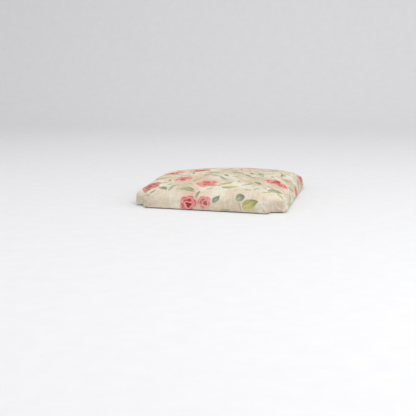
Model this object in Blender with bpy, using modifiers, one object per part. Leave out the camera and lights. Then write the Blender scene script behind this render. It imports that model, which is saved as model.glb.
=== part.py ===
"""Chair seat pad: a notched plywood board under a foam slab and a softer crown
layer, wrapped in wadding and a printed cover that is stapled underneath, with a
non-woven dust cover stapled over the raw edges and four tee nuts for the chair's
bolts.

Metres, +Z up, front edge towards -Y. The origin is the centre of the underside,
on the plane that the pad rests on. The notches take the chair's four posts.
"""

import math

import bmesh
import bpy
from mathutils import Matrix, Vector

# ---- finished size, over the cover --------------------------------------------
FRONT_WIDTH = 0.404      # at the back of the front notches, before the corners are softened
BACK_WIDTH = 0.320       # at the front of the back notches, the same way
DEPTH = 0.352
SHOULDER_HEIGHT = 0.028  # rest plane to where the side starts to roll over
ROLL_RISE = 0.016        # rise of the rolled edge
ROLL_RUN = 0.036         # width of the rolled edge, in plan
CROWN_RISE = 0.021       # rise of the middle above the rolled edge
WIDEST_HEIGHT = 0.017    # rest plane to the widest part of the side

# ---- notches for the posts, in plan --------------------------------------------
FRONT_NOTCH_WIDE = 0.020
FRONT_NOTCH_DEEP = 0.034
BACK_NOTCH_WIDE = 0.028
BACK_NOTCH_DEEP = 0.025

# ---- materials and their thicknesses -------------------------------------------
GAP = 0.0003             # between pieces that touch on the real pad
DUST_THICK = 0.0011
COVER_THICK = 0.0011
WADDING_THICK = 0.0035
BOARD_THICK = 0.010
CORE_THICK = 0.022
CORNER_SOFTNESS = 0.014  # length of edge that a soft corner rounds away
TURN_UNDER = 0.034       # cover turned under the board
TUCK = 0.0045            # size of the soft bottom edge of the cover
WADDING_STOP = 0.0065    # rest plane to the lower edge of the wadding

# ---- board and dust cover outlines ---------------------------------------------
BOARD_CORNER = 0.010
BOARD_NOTCH_CORNER = 0.003
DUST_INSET = 0.014
DUST_CORNER_CUT = 0.016  # clearance of the dust cover from a notch, on the diagonal

# ---- staples: crown along X, legs up -------------------------------------------
STAPLE_WIDTH = 0.0090
STAPLE_WIRE = 0.0005
STAPLE_WIRE_WIDE = 0.0008
STAPLE_LEG = 0.0080
COVER_STAPLE_MARGIN = 0.006  # cover's raw edge to its staples
DUST_STAPLE_MARGIN = 0.006   # dust cover's edge to its staples
COVER_STAPLES = {"front": 7, "back": 5, "side": 6}
DUST_STAPLES = {"front": 6, "back": 4, "side": 5, "corner": 1}

# ---- tee nuts -------------------------------------------------------------------
NUT_BORE = 0.0052
NUT_BARREL = 0.0080
NUT_BARREL_LONG = 0.0085
NUT_FLANGE = 0.0190
NUT_FLANGE_THICK = 0.0012
NUT_PRONGS = 4
NUT_PRONG_CIRCLE = 0.0150
NUT_PRONG_WIDE = 0.0024
NUT_PRONG_THICK = 0.0010
NUT_PRONG_LONG = 0.0050
NUT_SIDES = 16
NUT_FROM_EDGE = 0.075    # outline to a nut's axis, from the side and from the front or back
BOLT_HOLE = 0.0095       # hole in the dust cover for a bolt

# ---- cutters ----------------------------------------------------------------------
OVERSHOOT = 0.002        # how far a cutter runs past what it cuts
ARC_STEPS = 3            # facets of a board corner

# ---- heights that follow --------------------------------------------------------
COVER_UNDERSIDE = DUST_THICK + GAP
BOARD_UNDERSIDE = COVER_UNDERSIDE + COVER_THICK + GAP
BOARD_TOP = BOARD_UNDERSIDE + BOARD_THICK
CORE_UNDERSIDE = BOARD_TOP + GAP
CORE_TOP = CORE_UNDERSIDE + CORE_THICK
WADDING_INSET = COVER_THICK + GAP
FILLING_INSET = WADDING_INSET + WADDING_THICK + 2 * GAP  # soft corners draw the layers together
FRONT_Y = -DEPTH / 2
BACK_Y = DEPTH / 2
FRONT_NOTCH_Y = FRONT_Y + FRONT_NOTCH_DEEP
BACK_NOTCH_Y = BACK_Y - BACK_NOTCH_DEEP
SIDE_SLOPE = (FRONT_WIDTH - BACK_WIDTH) / 2 / (BACK_NOTCH_Y - FRONT_NOTCH_Y)
PAD_TOP = SHOULDER_HEIGHT + ROLL_RISE + CROWN_RISE

# ---- the grid that the soft pieces share, and its rings of (inset, z) --------------
SIDE_RINGS = [(0.0, WIDEST_HEIGHT), (0.0, COVER_UNDERSIDE + TUCK), (0.0, COVER_UNDERSIDE)]
UNDER_RINGS = [(TUCK, COVER_UNDERSIDE), (TURN_UNDER, COVER_UNDERSIDE)]
GRID_CELLS = 10
OUTER_COLUMN = GRID_CELLS // 2
NOTCH_COLUMN = OUTER_COLUMN - 2
NOTCH_ROW = 2

PARTS = "chair_seat_pad"
CUTTERS = "chair_seat_pad_cutters"


def clear_scene():
    for thing in list(bpy.data.objects):
        bpy.data.objects.remove(thing, do_unlink=True)
    for name in (PARTS, CUTTERS):
        group = bpy.data.collections.new(name)
        bpy.context.scene.collection.children.link(group)


def mix(a, b, share):
    return a + (b - a) * share


def material(name, colour, roughness, metallic=0.0):
    made = bpy.data.materials.new(name)
    made.use_nodes = True
    shader = made.node_tree.nodes["Principled BSDF"]
    shader.inputs["Base Color"].default_value = (*colour, 1.0)
    shader.inputs["Roughness"].default_value = roughness
    shader.inputs["Metallic"].default_value = metallic
    return made


def add_part(name, mesh, finish):
    part = bpy.data.objects.new(name, mesh)
    if not mesh.materials:
        mesh.materials.append(finish)
    bpy.data.collections[PARTS].objects.link(part)
    return part


def add_cutter(name, mesh):
    cutter = bpy.data.objects.new(name, mesh)
    cutter.hide_render = True
    cutter.display_type = "WIRE"
    bpy.data.collections[CUTTERS].objects.link(cutter)
    return cutter


def boolean(part, cutter, operation="DIFFERENCE", solver="EXACT"):
    """Cuts or joins. The drawn-in foam can cross itself at its corners, which needs MANIFOLD."""
    cut = part.modifiers.new(f"{operation.lower()} {cutter.name}", "BOOLEAN")
    cut.operation = operation
    cut.solver = solver
    cut.object = cutter


def mesh_from(bm, name):
    bmesh.ops.recalc_face_normals(bm, faces=bm.faces)
    mesh = bpy.data.meshes.new(name)
    bm.to_mesh(mesh)
    bm.free()
    return mesh


# ---- the outline in plan ---------------------------------------------------------
def notch_share(y):
    """Where y lies from the front notches, at 0, to the back ones, at 1."""
    return (y - FRONT_NOTCH_Y) / (BACK_NOTCH_Y - FRONT_NOTCH_Y)


def half_width(y, inset=0.0):
    """Half the width at y, along the straight side, drawn in square to the side."""
    return mix(FRONT_WIDTH, BACK_WIDTH, notch_share(y)) / 2 - inset * math.hypot(1, SIDE_SLOPE)


def notch_half_width(y):
    """Half the width between a pair of notches, or between their lines where y lies between the pairs."""
    front = FRONT_WIDTH / 2 - FRONT_NOTCH_WIDE
    back = BACK_WIDTH / 2 - BACK_NOTCH_WIDE
    return mix(front, back, min(max(notch_share(y), 0.0), 1.0))


def outline_corners(inset):
    """Corners of the notched outline, anticlockwise, each with True where it is a notch's inner corner."""
    front, front_notch = FRONT_Y + inset, FRONT_NOTCH_Y + inset
    back, back_notch = BACK_Y - inset, BACK_NOTCH_Y - inset
    right = [
        (notch_half_width(FRONT_NOTCH_Y) - inset, front, False),
        (notch_half_width(FRONT_NOTCH_Y) - inset, front_notch, True),
        (half_width(front_notch, inset), front_notch, False),
        (half_width(back_notch, inset), back_notch, False),
        (notch_half_width(BACK_NOTCH_Y) - inset, back_notch, True),
        (notch_half_width(BACK_NOTCH_Y) - inset, back, False),
    ]
    return right + [(-x, y, inner) for x, y, inner in reversed(right)]


def rounded(corners):
    """Outline points with an arc at each corner. Corners are (x, y, radius)."""
    points = []
    for index, (x, y, radius) in enumerate(corners):
        here = Vector((x, y))
        before = (Vector(corners[index - 1][:2]) - here).normalized()
        after = (Vector(corners[(index + 1) % len(corners)][:2]) - here).normalized()
        half_angle = before.angle(after) / 2
        centre = here + (before + after).normalized() * radius / math.sin(half_angle)
        start = here + before * radius / math.tan(half_angle) - centre
        end = here + after * radius / math.tan(half_angle) - centre
        sweep = start.angle_signed(end)
        for step in range(ARC_STEPS + 1):
            turn = Matrix.Rotation(-sweep * step / ARC_STEPS, 2)
            points.append(centre + turn @ start)
    return points


def plate_mesh(name, points, bottom, top):
    """A flat plate: one face that fills the outline, drawn up to its thickness."""
    bm = bmesh.new()
    rim = [bm.verts.new((x, y, bottom)) for x, y in points]
    edges = [bm.edges.new((rim[index - 1], vert)) for index, vert in enumerate(rim)]
    base = bmesh.ops.contextual_create(bm, geom=edges)["faces"]
    raised = bmesh.ops.extrude_face_region(bm, geom=base)["geom"]
    lifted = [item for item in raised if isinstance(item, bmesh.types.BMVert)]
    bmesh.ops.translate(bm, verts=lifted, vec=(0, 0, top - bottom))
    return mesh_from(bm, name)


# ---- the soft form ----------------------------------------------------------------
def row_y(row, inset=0.0):
    """Y of a grid row: the notches' rows, their softness, and even rows between."""
    if row > GRID_CELLS // 2:
        return -mirrored_row_y(GRID_CELLS - row, BACK_NOTCH_DEEP, inset)
    return mirrored_row_y(row, FRONT_NOTCH_DEEP, inset)


def mirrored_row_y(row, notch_deep, inset):
    inner = FRONT_Y + notch_deep + CORNER_SOFTNESS
    if row <= NOTCH_ROW:
        return FRONT_Y + notch_deep * row / NOTCH_ROW + inset
    share = (row - NOTCH_ROW - 1) / (GRID_CELLS // 2 - NOTCH_ROW - 1)
    return mix(inner, 0.0, share) + inset * (1 - share)


def column_x(column, row, inset=0.0):
    """X of a grid column on a row: the notches' columns, their softness, and even columns between."""
    side = math.copysign(1, column)
    steps = abs(column)
    notch = notch_half_width(row_y(row))
    if steps >= NOTCH_COLUMN:
        share = (steps - NOTCH_COLUMN) / (OUTER_COLUMN - NOTCH_COLUMN)
        return side * mix(notch - inset, half_width(row_y(row, inset), inset), share)
    inner = notch - CORNER_SOFTNESS
    return side * (inner * steps / (NOTCH_COLUMN - 1) - inset * (steps > 1))


def edge_distance(x, y):
    """How far a point of the plan lies inside the notched outline."""
    x = abs(x)
    across = max(notch_half_width(y) - x, 0.0)
    front_notch = math.hypot(across, max(y - FRONT_NOTCH_Y, 0.0))
    back_notch = math.hypot(across, max(BACK_NOTCH_Y - y, 0.0))
    return min(half_width(y) - x, y - FRONT_Y, BACK_Y - y, front_notch, back_notch)


def top_height(x, y):
    inside = min(max(edge_distance(x, y), 0.0) / ROLL_RUN, 1.0)
    roll = ROLL_RISE * math.sqrt(1 - (1 - inside) ** 2)
    crown = (1 - (x / half_width(y)) ** 2) * (1 - (2 * y / DEPTH) ** 2)
    return SHOULDER_HEIGHT + roll + CROWN_RISE * crown


def soft_form(rings):
    """The crowned top as a coarse grid without its corners, its side drawn down through the rings."""
    bm = bmesh.new()
    bmesh.ops.create_grid(bm, x_segments=GRID_CELLS, y_segments=GRID_CELLS, size=1)
    column_of = bm.verts.layers.int.new("column")
    row_of = bm.verts.layers.int.new("row")
    for vert in bm.verts:
        vert[column_of] = round(vert.co.x * OUTER_COLUMN)
        vert[row_of] = round((vert.co.y + 1) * GRID_CELLS / 2)
    corners = []
    for face in bm.faces:
        columns = [abs(vert[column_of]) for vert in face.verts]
        rows = [min(vert[row_of], GRID_CELLS - vert[row_of]) for vert in face.verts]
        if min(columns) >= NOTCH_COLUMN and max(rows) <= NOTCH_ROW:
            corners.append(face)
    bmesh.ops.delete(bm, geom=corners, context="FACES")
    for vert in bm.verts:
        x, y = column_x(vert[column_of], vert[row_of]), row_y(vert[row_of])
        vert.co = (x, y, top_height(x, y))
    rim = [edge for edge in bm.edges if edge.is_boundary]
    for inset, z in rings:
        grown = bmesh.ops.extrude_edge_only(bm, edges=rim)["geom"]
        rim = [item for item in grown if isinstance(item, bmesh.types.BMEdge)]
        for vert in [item for item in grown if isinstance(item, bmesh.types.BMVert)]:
            x = column_x(vert[column_of], vert[row_of], inset)
            vert.co = (x, row_y(vert[row_of], inset), z)
    return bm, rim


def smooth_soft(part):
    part.data.shade_smooth()
    soften = part.modifiers.new("soften", "SUBSURF")
    soften.levels = 1
    soften.render_levels = 1
    part.modifiers.new("same triangles in every layer", "TRIANGULATE")


def shell(part, outside, thickness):
    """Solidify inwards, from this far inside the form."""
    wall = part.modifiers.new("wall", "SOLIDIFY")
    wall.thickness = thickness
    wall.offset = -1 - 2 * outside / thickness


def make_cover(cutters):
    bm, _ = soft_form(SIDE_RINGS + UNDER_RINGS)
    fabric = material("printed linen-cotton", (0.79, 0.70, 0.58), 0.9)
    cover = add_part("cover", mesh_from(bm, "cover"), fabric)
    smooth_soft(cover)
    shell(cover, 0.0, COVER_THICK)
    for cutter in cutters:
        boolean(cover, cutter)


def make_wadding():
    bm, _ = soft_form(SIDE_RINGS)
    fibre = material("polyester wadding", (0.88, 0.88, 0.87), 0.95)
    wadding = add_part("wadding", mesh_from(bm, "wadding"), fibre)
    smooth_soft(wadding)
    shell(wadding, WADDING_INSET, WADDING_THICK)
    keep_between(wadding, WADDING_STOP, PAD_TOP)


def keep_between(part, bottom, top):
    """Cuts away what lies outside two heights."""
    bm = bmesh.new()
    size = Matrix.Diagonal((FRONT_WIDTH + OVERSHOOT, DEPTH + OVERSHOOT, top - bottom, 1))
    place = Matrix.Translation((0, 0, (bottom + top) / 2))
    bmesh.ops.create_cube(bm, size=1, matrix=place @ size)
    name = part.name + " slab"
    boolean(part, add_cutter(name, mesh_from(bm, name)), "INTERSECT", "MANIFOLD")


def make_filling(name, bottom, top, finish):
    """The part of the filling between two heights, under the wadding."""
    bm, rim = soft_form(SIDE_RINGS)
    bmesh.ops.contextual_create(bm, geom=rim)
    filling = add_part(name, mesh_from(bm, name), finish)
    smooth_soft(filling)
    inward = filling.modifiers.new("inside the wadding", "DISPLACE")
    inward.strength = -FILLING_INSET
    inward.mid_level = 0.0
    keep_between(filling, bottom, top)
    return filling


# ---- tee nuts -----------------------------------------------------------------------
def nut_places():
    places = []
    for y in (FRONT_Y + NUT_FROM_EDGE, BACK_Y - NUT_FROM_EDGE):
        x = half_width(y) - NUT_FROM_EDGE
        places += [(-x, y), (x, y)]
    return places


def cylinder(bm, diameter, bottom, top, place=(0, 0)):
    bmesh.ops.create_cone(
        bm, cap_ends=True, segments=NUT_SIDES, radius1=diameter / 2, radius2=diameter / 2,
        depth=top - bottom, matrix=Matrix.Translation((*place, (bottom + top) / 2)),
    )


def prongs(bm, grow, bottom, top, place=(0, 0)):
    for index in range(NUT_PRONGS):
        turn = Matrix.Rotation(2 * math.pi * index / NUT_PRONGS, 4, "Z")
        out = Matrix.Translation((NUT_PRONG_CIRCLE / 2, 0, (bottom + top) / 2))
        size = Matrix.Diagonal((NUT_PRONG_THICK + 2 * grow, NUT_PRONG_WIDE + 2 * grow, top - bottom, 1))
        bmesh.ops.create_cube(bm, size=1, matrix=Matrix.Translation((*place, 0)) @ turn @ out @ size)


def nut_seats():
    """One cutter for the board: barrel holes right through, and slots for the prongs."""
    bm = bmesh.new()
    for place in nut_places():
        cylinder(bm, NUT_BARREL + 2 * GAP, BOARD_UNDERSIDE - OVERSHOOT, BOARD_TOP + OVERSHOOT, place)
        prongs(bm, GAP, BOARD_TOP - NUT_PRONG_LONG - GAP, BOARD_TOP + OVERSHOOT, place)
    return add_cutter("nut seats", mesh_from(bm, "nut seats"))


def nut_pockets():
    """One cutter for the foam: room for the nuts' flanges."""
    bm = bmesh.new()
    for place in nut_places():
        top = CORE_UNDERSIDE + NUT_FLANGE_THICK + GAP
        cylinder(bm, NUT_FLANGE + 2 * GAP, CORE_UNDERSIDE - OVERSHOOT, top, place)
    return add_cutter("nut pockets", mesh_from(bm, "nut pockets"))


def bolt_holes():
    bm = bmesh.new()
    for place in nut_places():
        cylinder(bm, BOLT_HOLE, -OVERSHOOT, DUST_THICK + OVERSHOOT, place)
    return add_cutter("bolt holes", mesh_from(bm, "bolt holes"))


def nut_mesh(name, diameter, bottom, top):
    bm = bmesh.new()
    cylinder(bm, diameter, bottom, top)
    return mesh_from(bm, name)


def make_nuts():
    """Four alike, each a flange with a barrel and prongs joined on and a bore cut through. Heights
    are from the top of the board."""
    steel = material("zinc-plated steel", (0.62, 0.63, 0.65), 0.35, 1.0)
    flange_top = GAP + NUT_FLANGE_THICK
    flange_middle = GAP + NUT_FLANGE_THICK / 2
    flange = nut_mesh("tee nut", NUT_FLANGE, GAP, flange_top)
    bm = bmesh.new()
    prongs(bm, 0.0, -NUT_PRONG_LONG, flange_middle)
    steps = [
        ("nut barrel", nut_mesh("nut barrel", NUT_BARREL, GAP - NUT_BARREL_LONG, flange_middle), "UNION"),
        ("nut prongs", mesh_from(bm, "nut prongs"), "UNION"),
        ("nut bore", nut_mesh("nut bore", NUT_BORE, -NUT_BARREL_LONG, flange_top + OVERSHOOT), "DIFFERENCE"),
    ]
    for index, (x, y) in enumerate(nut_places()):
        nut = add_part(f"tee_nut_{index + 1}", flange, steel)
        nut.location = (x, y, BOARD_TOP)
        for name, mesh, operation in steps:
            tool = add_cutter(f"{name} {index + 1}", mesh)
            tool.location = nut.location
            boolean(nut, tool, operation)


# ---- staples -------------------------------------------------------------------------
def staple_mesh(name, grow):
    """A staple on its crown, legs up; grown all round, it is its own slot."""
    half = STAPLE_WIDTH / 2 + grow
    inner = STAPLE_WIDTH / 2 - STAPLE_WIRE - grow
    crown = STAPLE_WIRE + grow
    leg = STAPLE_LEG + grow
    foot = -OVERSHOOT if grow else 0.0
    points = [
        (-half, foot), (half, foot), (half, leg), (inner, leg),
        (inner, crown), (-inner, crown), (-inner, leg), (-half, leg),
    ]
    thick = STAPLE_WIRE_WIDE / 2 + grow
    mesh = plate_mesh(name, points, -thick, thick)
    mesh.transform(Matrix.Rotation(math.pi / 2, 4, "X"))
    return mesh


def along(start, end, count):
    """Evenly spread places along an edge, half a space in from its ends, with the edge's direction."""
    start, end = Vector(start), Vector(end)
    turn = math.atan2(end.y - start.y, end.x - start.x)
    return [(start.lerp(end, (index + 0.5) / count), turn) for index in range(count)]


def cover_staple_places():
    corners = outline_corners(TURN_UNDER - COVER_STAPLE_MARGIN)
    outer = [(x, y) for x, y, inner in corners if not inner]
    edges = (("side", 1, 2), ("back", 3, 4), ("side", 5, 6), ("front", 7, 0))
    places = []
    for edge, start, end in edges:
        places += along(outer[start], outer[end], COVER_STAPLES[edge])
    return places


def dust_corners(inset):
    """Corners of the dust cover: the outline drawn in, with its four corners cut off clear of the notches."""
    ends = []
    for notch_y, edge_y in ((FRONT_NOTCH_Y, FRONT_Y + inset), (BACK_NOTCH_Y, BACK_Y - inset)):
        towards = math.copysign(1, notch_y)
        notch_x = notch_half_width(notch_y)
        reach = notch_x + abs(notch_y) - (DUST_CORNER_CUT + inset - DUST_INSET) * math.sqrt(2)
        side_x = half_width(notch_y, inset)
        ends.append(((reach - abs(edge_y), edge_y), (side_x, towards * (reach - side_x))))
    (front, front_side), (back, back_side) = ends
    right = [front, front_side, back_side, back]
    return right + [(-x, y) for x, y in reversed(right)]


def dust_staple_places():
    corners = dust_corners(DUST_INSET + DUST_STAPLE_MARGIN)
    counts = ["corner", "side", "corner", "back", "corner", "side", "corner", "front"]
    places = []
    for index, edge in enumerate(counts):
        places += along(corners[index], corners[(index + 1) % len(corners)], DUST_STAPLES[edge])
    return places


def make_staples(name, places, crown_z, mesh, finish):
    for index, (place, turn) in enumerate(places):
        staple = add_part(f"{name}_{index + 1:02d}", mesh, finish)
        staple.location = (*place, crown_z)
        staple.rotation_euler = (0, 0, turn)


def staple_slots(name, places, crown_z):
    """The slots of one set of staples, in one cutter."""
    slot = staple_mesh("staple slot", GAP)
    bm = bmesh.new()
    for place, turn in places:
        before = len(bm.verts)
        bm.from_mesh(slot)
        bm.verts.ensure_lookup_table()
        move = Matrix.Translation((*place, crown_z)) @ Matrix.Rotation(turn, 4, "Z")
        bmesh.ops.transform(bm, matrix=move, verts=bm.verts[before:])
    bpy.data.meshes.remove(slot)
    return add_cutter(name, mesh_from(bm, name))


# ---- the flat pieces -------------------------------------------------------------------
def make_board(cutters):
    corners = [
        (x, y, BOARD_NOTCH_CORNER if inner else BOARD_CORNER)
        for x, y, inner in outline_corners(FILLING_INSET)
    ]
    plywood = material("birch plywood", (0.72, 0.55, 0.35), 0.6)
    mesh = plate_mesh("seat_board", rounded(corners), BOARD_UNDERSIDE, BOARD_TOP)
    board = add_part("seat_board", mesh, plywood)
    for cutter in cutters:
        boolean(board, cutter)


def make_dust_cover(cutters):
    nonwoven = material("black non-woven", (0.03, 0.03, 0.032), 0.95)
    mesh = plate_mesh("dust_cover", dust_corners(DUST_INSET), 0.0, DUST_THICK)
    dust_cover = add_part("dust_cover", mesh, nonwoven)
    for cutter in cutters:
        boolean(dust_cover, cutter)


def main():
    clear_scene()
    cover_slots = staple_slots("cover staple slots", cover_staple_places(), COVER_UNDERSIDE)
    dust_slots = staple_slots("dust cover staple slots", dust_staple_places(), 0.0)
    make_cover([cover_slots, dust_slots])
    make_wadding()
    make_filling("crown_foam", CORE_TOP + GAP, PAD_TOP, material("soft foam", (0.93, 0.90, 0.78), 0.9))
    core = make_filling("foam_core", CORE_UNDERSIDE, CORE_TOP, material("firm foam", (0.86, 0.79, 0.58), 0.9))
    boolean(core, nut_pockets(), solver="MANIFOLD")
    make_board([nut_seats(), cover_slots, dust_slots])
    make_dust_cover([bolt_holes(), dust_slots])
    make_nuts()
    wire = material("galvanised wire", (0.70, 0.71, 0.73), 0.3, 1.0)
    staple = staple_mesh("staple", 0.0)
    make_staples("cover_staple", cover_staple_places(), COVER_UNDERSIDE, staple, wire)
    make_staples("dust_cover_staple", dust_staple_places(), 0.0, staple, wire)


main()
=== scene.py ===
"""Looks for the chair seat pad: a printed linen-cotton cover over wadding and foam on a
plywood board, with a stapled non-woven dust cover underneath. Metres, +Z up, front
edge towards -Y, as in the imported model.
"""

import math

import bmesh
import bpy
import numpy as np
from mathutils import Matrix, Vector
from mathutils.bvhtree import BVHTree


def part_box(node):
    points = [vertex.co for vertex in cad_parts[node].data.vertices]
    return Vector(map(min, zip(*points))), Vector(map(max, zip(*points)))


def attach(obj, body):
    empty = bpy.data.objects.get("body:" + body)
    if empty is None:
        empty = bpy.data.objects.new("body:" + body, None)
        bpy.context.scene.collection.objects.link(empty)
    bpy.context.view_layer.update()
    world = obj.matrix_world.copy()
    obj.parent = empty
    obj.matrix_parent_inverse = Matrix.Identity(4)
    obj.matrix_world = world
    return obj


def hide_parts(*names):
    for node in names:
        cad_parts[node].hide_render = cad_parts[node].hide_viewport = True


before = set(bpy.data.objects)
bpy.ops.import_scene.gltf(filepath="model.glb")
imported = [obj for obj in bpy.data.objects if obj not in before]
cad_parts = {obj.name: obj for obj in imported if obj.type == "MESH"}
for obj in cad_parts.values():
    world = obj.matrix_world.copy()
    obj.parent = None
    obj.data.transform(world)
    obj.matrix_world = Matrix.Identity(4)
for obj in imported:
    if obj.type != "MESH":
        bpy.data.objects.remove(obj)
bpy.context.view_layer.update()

# ---- the pad's size, from the frame and the notches' sizes ----
COVER_LOW, COVER_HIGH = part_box("cover")
BOARD_LOW, BOARD_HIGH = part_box("seat_board")
CORE_LOW, CORE_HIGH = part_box("foam_core")
CROWN_LOW, CROWN_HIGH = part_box("crown_foam")
WADDING_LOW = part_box("wadding")[0]
DUST_LOW, DUST_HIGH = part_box("dust_cover")
FRONT_Y, BACK_Y = COVER_LOW.y, COVER_HIGH.y
DEPTH = BACK_Y - FRONT_Y
FRONT_WIDTH = 0.404      # at the back of the front notches
BACK_WIDTH = 0.320       # at the front of the back notches
FRONT_NOTCH_WIDE, FRONT_NOTCH_DEEP = 0.020, 0.034
BACK_NOTCH_WIDE, BACK_NOTCH_DEEP = 0.028, 0.025
FRONT_NOTCH_Y = FRONT_Y + FRONT_NOTCH_DEEP
BACK_NOTCH_Y = BACK_Y - BACK_NOTCH_DEEP
SHOULDER_HEIGHT, ROLL_RISE, ROLL_RUN, CROWN_RISE = 0.028, 0.016, 0.036, 0.021
WIDEST_HEIGHT = 0.017
CORNER_SOFTNESS = 0.014
TURN_UNDER, TUCK = 0.034, 0.0045
UNDERSIDE = COVER_LOW.z

# ---- the cover's cloth ----
COVER_THICK = 0.0011
START_INSET = 0.0046     # how far inside the CAD cover the form starts, where nothing holds it
MOST_SWELL = 0.0050      # cap on how far the pressure moves a point
FOAM_HOLDS = 0.60        # how much of its own form the foam keeps under the stretched cover
PRESSURE = 4.0
SIMULATED_FRAMES = 20
ROLL_TAKES = 0.0064      # cloth that the rolled edge takes up beyond its plan
TURN_EASE = 0.006        # how softly the cloth's way out turns from one edge to the next
THREAD = 0.00095         # spacing of the weave
THREAD_DRIFT = 0.0012    # how far a thread wanders from its straight line
WHOLE_TURN = 2 * math.pi

# ---- the grid of the cage ----
CELLS = 10
OUTER_COLUMN = CELLS // 2
NOTCH_COLUMN = OUTER_COLUMN - 2
NOTCH_ROW = 2
FINE_LEVELS = 3
# Below the top: how far in each ring of the cage lies, and its height.
RINGS = [
    (0.0, WIDEST_HEIGHT), (0.0, UNDERSIDE + TUCK), (0.0, UNDERSIDE),
    (TUCK, UNDERSIDE), (TURN_UNDER, UNDERSIDE),
]


def mix(a, b, share):
    return a + (b - a) * share


def smoothstep(value, low, high):
    share = np.clip((value - low) / (high - low), 0.0, 1.0)
    return share * share * (3 - 2 * share)


# ---- the outline in plan ----
def notch_share(y):
    return (y - FRONT_NOTCH_Y) / (BACK_NOTCH_Y - FRONT_NOTCH_Y)


def half_width(y, inset=0.0):
    slope = (FRONT_WIDTH - BACK_WIDTH) / 2 / (BACK_NOTCH_Y - FRONT_NOTCH_Y)
    return mix(FRONT_WIDTH, BACK_WIDTH, notch_share(y)) / 2 - inset * math.hypot(1, slope)


def notch_half_width(y):
    """Half the width between a pair of notches, or between their lines."""
    front = FRONT_WIDTH / 2 - FRONT_NOTCH_WIDE
    back = BACK_WIDTH / 2 - BACK_NOTCH_WIDE
    return mix(front, back, np.clip(notch_share(y), 0.0, 1.0))


def edge_distance(x, y):
    """How far points of the plan lie inside the notched outline."""
    x = np.abs(x)
    across = np.maximum(notch_half_width(y) - x, 0.0)
    front_notch = np.hypot(across, np.maximum(y - FRONT_NOTCH_Y, 0.0))
    back_notch = np.hypot(across, np.maximum(BACK_NOTCH_Y - y, 0.0))
    sides = np.minimum(half_width(y) - x, np.minimum(y - FRONT_Y, BACK_Y - y))
    return np.minimum(sides, np.minimum(front_notch, back_notch))


# ---- the coarse cage ----
def row_y(row, inset=0.0):
    half = CELLS // 2
    side, deep = (1, FRONT_NOTCH_DEEP) if row <= half else (-1, BACK_NOTCH_DEEP)
    row = min(row, CELLS - row)
    inner = FRONT_Y + deep + CORNER_SOFTNESS
    if row <= NOTCH_ROW:
        return side * (FRONT_Y + deep * row / NOTCH_ROW + inset)
    share = (row - NOTCH_ROW - 1) / (half - NOTCH_ROW - 1)
    return side * (mix(inner, 0.0, share) + inset * (1 - share))


def column_x(column, row, inset=0.0):
    side, steps = math.copysign(1, column), abs(column)
    notch = float(notch_half_width(row_y(row)))
    if steps >= NOTCH_COLUMN:
        share = (steps - NOTCH_COLUMN) / (OUTER_COLUMN - NOTCH_COLUMN)
        return side * mix(notch - inset, half_width(row_y(row, inset), inset), share)
    return side * ((notch - CORNER_SOFTNESS) * steps / (NOTCH_COLUMN - 1) - inset * (steps > 1))


def top_height(x, y):
    inside = min(max(float(edge_distance(x, y)), 0.0) / ROLL_RUN, 1.0)
    crown = (1 - (x / half_width(y)) ** 2) * (1 - (2 * y / DEPTH) ** 2)
    return SHOULDER_HEIGHT + ROLL_RISE * math.sqrt(1 - (1 - inside) ** 2) + CROWN_RISE * crown


def cage():
    """The crowned top without its corners, and rings of (inset, z) down its side and under it."""
    bm = bmesh.new()
    bmesh.ops.create_grid(bm, x_segments=CELLS, y_segments=CELLS, size=1)
    column_of = bm.verts.layers.int.new("column")
    row_of = bm.verts.layers.int.new("row")
    for vert in bm.verts:
        vert[column_of] = round(vert.co.x * OUTER_COLUMN)
        vert[row_of] = round((vert.co.y + 1) * CELLS / 2)
    corners = []
    for face in bm.faces:
        columns = [abs(vert[column_of]) for vert in face.verts]
        rows = [min(vert[row_of], CELLS - vert[row_of]) for vert in face.verts]
        if min(columns) >= NOTCH_COLUMN and max(rows) <= NOTCH_ROW:
            corners.append(face)
    bmesh.ops.delete(bm, geom=corners, context="FACES")
    for vert in bm.verts:
        x, y = column_x(vert[column_of], vert[row_of]), row_y(vert[row_of])
        vert.co = (x, y, top_height(x, y))
    rim = [edge for edge in bm.edges if edge.is_boundary]
    for inset, z in RINGS:
        grown = bmesh.ops.extrude_edge_only(bm, edges=rim)["geom"]
        rim = [item for item in grown if isinstance(item, bmesh.types.BMEdge)]
        for vert in [item for item in grown if isinstance(item, bmesh.types.BMVert)]:
            x = column_x(vert[column_of], vert[row_of], inset)
            vert.co = (x, row_y(vert[row_of], inset), z)
    bmesh.ops.recalc_face_normals(bm, faces=bm.faces)
    for name in ("column", "row"):
        bm.verts.layers.int.remove(bm.verts.layers.int[name])
    return object_from(bm, "cage")


# ---- mesh helpers ----
def new_object(name, data):
    made = bpy.data.objects.new(name, data)
    bpy.context.scene.collection.objects.link(made)
    return made


def object_from(bm, name):
    mesh = bpy.data.meshes.new(name)
    bm.to_mesh(mesh)
    bm.free()
    return new_object(name, mesh)


def modify(piece, kind, **settings):
    """Adds a modifier and applies it."""
    made = piece.modifiers.new(kind.lower(), kind)
    for name, value in settings.items():
        setattr(made, name, value)
    bake(piece)


def bake(piece):
    """The piece's mesh becomes what its modifiers make of it."""
    evaluated = piece.evaluated_get(bpy.context.evaluated_depsgraph_get())
    mesh = bpy.data.meshes.new_from_object(evaluated)
    piece.modifiers.clear()
    old, piece.data = piece.data, mesh
    bpy.data.meshes.remove(old)


def copy_of(piece, name):
    return new_object(name, piece.data.copy())


def vectors_of(items, field):
    """The vector that each of a mesh's items has, one to a row."""
    flat = np.empty(len(items) * 3, np.float32)
    items.foreach_get(field, flat)
    return flat.reshape(-1, 3).astype(float)


def points_of(mesh):
    return vectors_of(mesh.vertices, "co")


def normals_of(mesh):
    return vectors_of(mesh.vertex_normals, "vector")


def cloth_of(mesh):
    """Each point's place on the flat cloth."""
    return vectors_of(mesh.attributes["cloth"].data, "vector")


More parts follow.
